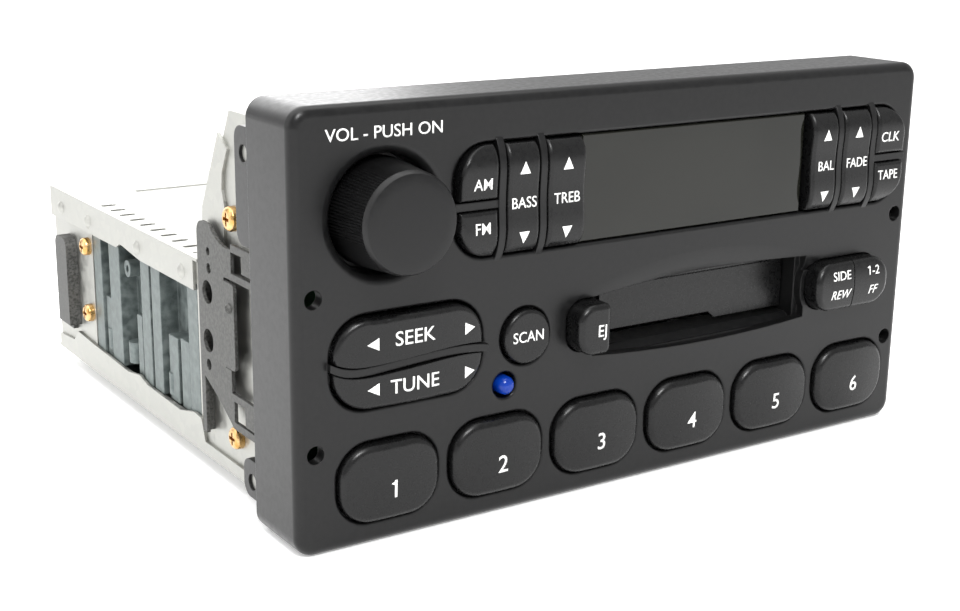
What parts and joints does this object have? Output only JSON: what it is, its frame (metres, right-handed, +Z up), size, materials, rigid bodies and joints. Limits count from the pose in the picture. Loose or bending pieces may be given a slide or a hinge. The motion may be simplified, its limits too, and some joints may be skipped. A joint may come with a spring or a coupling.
{
  "type": "car radio",
  "caption": "Dashboard car radio with a cassette slot, a smoked display, a volume knob, preset and rocker keys, side spring clips and a stepped sheet-metal body.",
  "frame": {"origin": "bottom centre of the whole radio's box, level with the lower edge of the face", "axes": "+X to the right seen from the front, +Y from the face to the rear connectors, +Z up"},
  "size_m": [0.188, 0.1994, 0.1],
  "materials": {
    "satin_black_plastic": "satin",
    "smoked_lens": "gloss",
    "blue_lamp": "gloss",
    "zinc_sheet": "satin",
    "zinc_casting": "cast",
    "phosphated_spring_steel": "matte",
    "gold_chromate": "satin",
    "circuit_board": "satin",
    "component_black": "matte",
    "grey_plastic": "satin",
    "steel": "satin",
    "rubber_black": "matte",
    "display_glass": "gloss"
  },
  "bodies": {
    "radio_body": {"faceplate": "satin_black_plastic", "display_lens": "smoked_lens", "encoder_body": "grey_plastic", "indicator_led": "blue_lamp", "keypad_board": "circuit_board", "push_switches": "component_black", "display_module": "display_glass", "front_frame": "zinc_sheet", "chassis": "zinc_sheet", "top_cover": "zinc_sheet", "bottom_cover": "zinc_sheet", "heat_sink": "zinc_casting", "left_clip": "phosphated_spring_steel", "right_clip": "phosphated_spring_steel", "rear_guides": "phosphated_spring_steel", "side_screws": "gold_chromate", "main_board": "circuit_board", "board_components": "component_black", "amplifier_chips": "component_black", "rear_connectors": "component_black", "antenna_socket": "steel", "rear_stud": "steel", "deck_frame": "steel", "deck_motor": "steel", "drive_belt": "rubber_black"},
    "volume_plunger": {"encoder_plunger": "grey_plastic"},
    "volume_knob": {"volume_knob": "satin_black_plastic", "volume_shaft": "steel"},
    "preset_button_1": {"preset_button_1": "satin_black_plastic"},
    "preset_button_2": {"preset_button_2": "satin_black_plastic"},
    "preset_button_3": {"preset_button_3": "satin_black_plastic"},
    "preset_button_4": {"preset_button_4": "satin_black_plastic"},
    "preset_button_5": {"preset_button_5": "satin_black_plastic"},
    "preset_button_6": {"preset_button_6": "satin_black_plastic"},
    "am_button": {"am_button": "satin_black_plastic"},
    "fm_button": {"fm_button": "satin_black_plastic"},
    "clock_button": {"clock_button": "satin_black_plastic"},
    "tape_button": {"tape_button": "satin_black_plastic"},
    "scan_button": {"scan_button": "satin_black_plastic"},
    "eject_button": {"eject_button": "satin_black_plastic"},
    "rewind_button": {"rewind_button": "satin_black_plastic"},
    "fast_forward_button": {"fast_forward_button": "satin_black_plastic"},
    "bass_rocker": {"bass_rocker": "satin_black_plastic"},
    "treble_rocker": {"treble_rocker": "satin_black_plastic"},
    "balance_rocker": {"balance_rocker": "satin_black_plastic"},
    "fade_rocker": {"fade_rocker": "satin_black_plastic"},
    "seek_rocker": {"seek_rocker": "satin_black_plastic"},
    "tune_rocker": {"tune_rocker": "satin_black_plastic"},
    "cassette_door": {"cassette_door": "satin_black_plastic"},
    "cassette_carrier": {"cassette_carrier": "steel"},
    "head_carriage": {"head_carriage": "steel"},
    "pinch_roller_forward": {"pinch_roller_forward": "rubber_black"},
    "pinch_roller_reverse": {"pinch_roller_reverse": "rubber_black"},
    "flywheel_forward": {"flywheel_forward": "steel"},
    "flywheel_reverse": {"flywheel_reverse": "steel"},
    "motor_pulley": {"motor_pulley": "gold_chromate"},
    "supply_spindle": {"supply_spindle": "grey_plastic"},
    "takeup_spindle": {"takeup_spindle": "grey_plastic"},
    "left_latch": {"left_latch": "phosphated_spring_steel"},
    "right_latch": {"right_latch": "phosphated_spring_steel"}
  },
  "joints": [
    {"name": "volume_push", "type": "slide", "parent": "radio_body", "child": "volume_plunger", "axis": [0, 1, 0], "range_m": [0, 0.0008], "stiffness_N_per_m": 1500, "springref_m": -0.001},
    {"name": "volume_turn", "type": "hinge", "parent": "volume_plunger", "child": "volume_knob", "pos_m": [-0.0712, -0.08825, 0.0755], "axis": [0, -1, 0], "continuous": true},
    {"name": "preset_1_press", "type": "slide", "parent": "radio_body", "child": "preset_button_1", "axis": [0, 1, 0], "range_m": [0, 0.001], "stiffness_N_per_m": 500, "springref_m": -0.001},
    {"name": "preset_2_press", "type": "slide", "parent": "radio_body", "child": "preset_button_2", "axis": [0, 1, 0], "range_m": [0, 0.001], "stiffness_N_per_m": 500, "springref_m": -0.001},
    {"name": "preset_3_press", "type": "slide", "parent": "radio_body", "child": "preset_button_3", "axis": [0, 1, 0], "range_m": [0, 0.001], "stiffness_N_per_m": 500, "springref_m": -0.001},
    {"name": "preset_4_press", "type": "slide", "parent": "radio_body", "child": "preset_button_4", "axis": [0, 1, 0], "range_m": [0, 0.001], "stiffness_N_per_m": 500, "springref_m": -0.001},
    {"name": "preset_5_press", "type": "slide", "parent": "radio_body", "child": "preset_button_5", "axis": [0, 1, 0], "range_m": [0, 0.001], "stiffness_N_per_m": 500, "springref_m": -0.001},
    {"name": "preset_6_press", "type": "slide", "parent": "radio_body", "child": "preset_button_6", "axis": [0, 1, 0], "range_m": [0, 0.001], "stiffness_N_per_m": 500, "springref_m": -0.001},
    {"name": "am_press", "type": "slide", "parent": "radio_body", "child": "am_button", "axis": [0, 1, 0], "range_m": [0, 0.001], "stiffness_N_per_m": 500, "springref_m": -0.001},
    {"name": "fm_press", "type": "slide", "parent": "radio_body", "child": "fm_button", "axis": [0, 1, 0], "range_m": [0, 0.001], "stiffness_N_per_m": 500, "springref_m": -0.001},
    {"name": "clock_press", "type": "slide", "parent": "radio_body", "child": "clock_button", "axis": [0, 1, 0], "range_m": [0, 0.001], "stiffness_N_per_m": 500, "springref_m": -0.001},
    {"name": "tape_press", "type": "slide", "parent": "radio_body", "child": "tape_button", "axis": [0, 1, 0], "range_m": [0, 0.001], "stiffness_N_per_m": 500, "springref_m": -0.001},
    {"name": "scan_press", "type": "slide", "parent": "radio_body", "child": "scan_button", "axis": [0, 1, 0], "range_m": [0, 0.001], "stiffness_N_per_m": 500, "springref_m": -0.001},
    {"name": "eject_press", "type": "slide", "parent": "radio_body", "child": "eject_button", "axis": [0, 1, 0], "range_m": [0, 0.003], "stiffness_N_per_m": 300, "springref_m": -0.001},
    {"name": "rewind_press", "type": "slide", "parent": "radio_body", "child": "rewind_button", "axis": [0, 1, 0], "range_m": [0, 0.002], "stiffness_N_per_m": 300, "springref_m": -0.001},
    {"name": "fast_forward_press", "type": "slide", "parent": "radio_body", "child": "fast_forward_button", "axis": [0, 1, 0], "range_m": [0, 0.002], "stiffness_N_per_m": 300, "springref_m": -0.001},
    {"name": "bass_tilt", "type": "hinge", "parent": "radio_body", "child": "bass_rocker", "pos_m": [-0.03655, -0.08225, 0.0761], "axis": [1, 0, 0], "range_deg": [-3, 3], "stiffness_Nm_per_rad": 0.08},
    {"name": "treble_tilt", "type": "hinge", "parent": "radio_body", "child": "treble_rocker", "pos_m": [-0.0244, -0.08225, 0.0761], "axis": [1, 0, 0], "range_deg": [-3, 3], "stiffness_Nm_per_rad": 0.08},
    {"name": "balance_tilt", "type": "hinge", "parent": "radio_body", "child": "balance_rocker", "pos_m": [0.0586, -0.08225, 0.0761], "axis": [1, 0, 0], "range_deg": [-3, 3], "stiffness_Nm_per_rad": 0.08},
    {"name": "fade_tilt", "type": "hinge", "parent": "radio_body", "child": "fade_rocker", "pos_m": [0.07045, -0.08225, 0.0761], "axis": [1, 0, 0], "range_deg": [-3, 3], "stiffness_Nm_per_rad": 0.08},
    {"name": "seek_tilt", "type": "hinge", "parent": "radio_body", "child": "seek_rocker", "pos_m": [-0.06565, -0.08225, 0.048], "axis": [0, 0, 1], "range_deg": [-3, 3], "stiffness_Nm_per_rad": 0.08},
    {"name": "tune_tilt", "type": "hinge", "parent": "radio_body", "child": "tune_rocker", "pos_m": [-0.06565, -0.08225, 0.0375], "axis": [0, 0, 1], "range_deg": [-3, 3], "stiffness_Nm_per_rad": 0.08},
    {"name": "door_swing", "type": "hinge", "parent": "radio_body", "child": "cassette_door", "pos_m": [0.0222, -0.08075, 0.0499], "axis": [1, 0, 0], "range_deg": [0, 78], "stiffness_Nm_per_rad": 0.002, "springref_deg": -22.92},
    {"name": "carrier_lower", "type": "slide", "parent": "radio_body", "child": "cassette_carrier", "axis": [0, 0, -1], "range_m": [0, 0.0066]},
    {"name": "head_engage", "type": "slide", "parent": "radio_body", "child": "head_carriage", "axis": [-1, 0, 0], "range_m": [0, 0.004], "stiffness_N_per_m": 200, "springref_m": -0.001},
    {"name": "pinch_forward_spin", "type": "hinge", "parent": "head_carriage", "child": "pinch_roller_forward", "pos_m": [0.05985, -0.04425, 0.0354], "axis": [0, 0, 1], "continuous": true},
    {"name": "pinch_reverse_spin", "type": "hinge", "parent": "head_carriage", "child": "pinch_roller_reverse", "pos_m": [0.05985, 0.01775, 0.0354], "axis": [0, 0, 1], "continuous": true},
    {"name": "flywheel_forward_spin", "type": "hinge", "parent": "radio_body", "child": "flywheel_forward", "pos_m": [0.0495, -0.04425, 0.024], "axis": [0, 0, 1], "continuous": true},
    {"name": "flywheel_reverse_spin", "type": "hinge", "parent": "radio_body", "child": "flywheel_reverse", "pos_m": [0.0495, 0.01775, 0.024], "axis": [0, 0, 1], "continuous": true},
    {"name": "pulley_spin", "type": "hinge", "parent": "radio_body", "child": "motor_pulley", "pos_m": [0.0705, 0.03625, 0.024], "axis": [0, 0, 1], "continuous": true},
    {"name": "supply_spin", "type": "hinge", "parent": "radio_body", "child": "supply_spindle", "pos_m": [0.02, -0.0345, 0.03], "axis": [0, 0, 1], "continuous": true},
    {"name": "takeup_spin", "type": "hinge", "parent": "radio_body", "child": "takeup_spindle", "pos_m": [0.02, 0.008, 0.03], "axis": [0, 0, 1], "continuous": true},
    {"name": "left_latch_flex", "type": "hinge", "parent": "radio_body", "child": "left_latch", "pos_m": [-0.0906, -0.04705, 0.044], "axis": [0, 0, 1], "range_deg": [0, 12], "stiffness_Nm_per_rad": 0.05, "springref_deg": -5.73},
    {"name": "right_latch_flex", "type": "hinge", "parent": "radio_body", "child": "right_latch", "pos_m": [0.0906, -0.04705, 0.044], "axis": [0, 0, -1], "range_deg": [0, 12], "stiffness_Nm_per_rad": 0.05, "springref_deg": -5.73}
  ],
  "couplings": [
    {"joint": "flywheel_reverse_spin", "follows": "flywheel_forward_spin", "ratio": -1},
    {"joint": "pulley_spin", "follows": "flywheel_forward_spin", "ratio": 4.1566},
    {"joint": "takeup_spin", "follows": "flywheel_forward_spin", "ratio": 0.25}
  ]
}
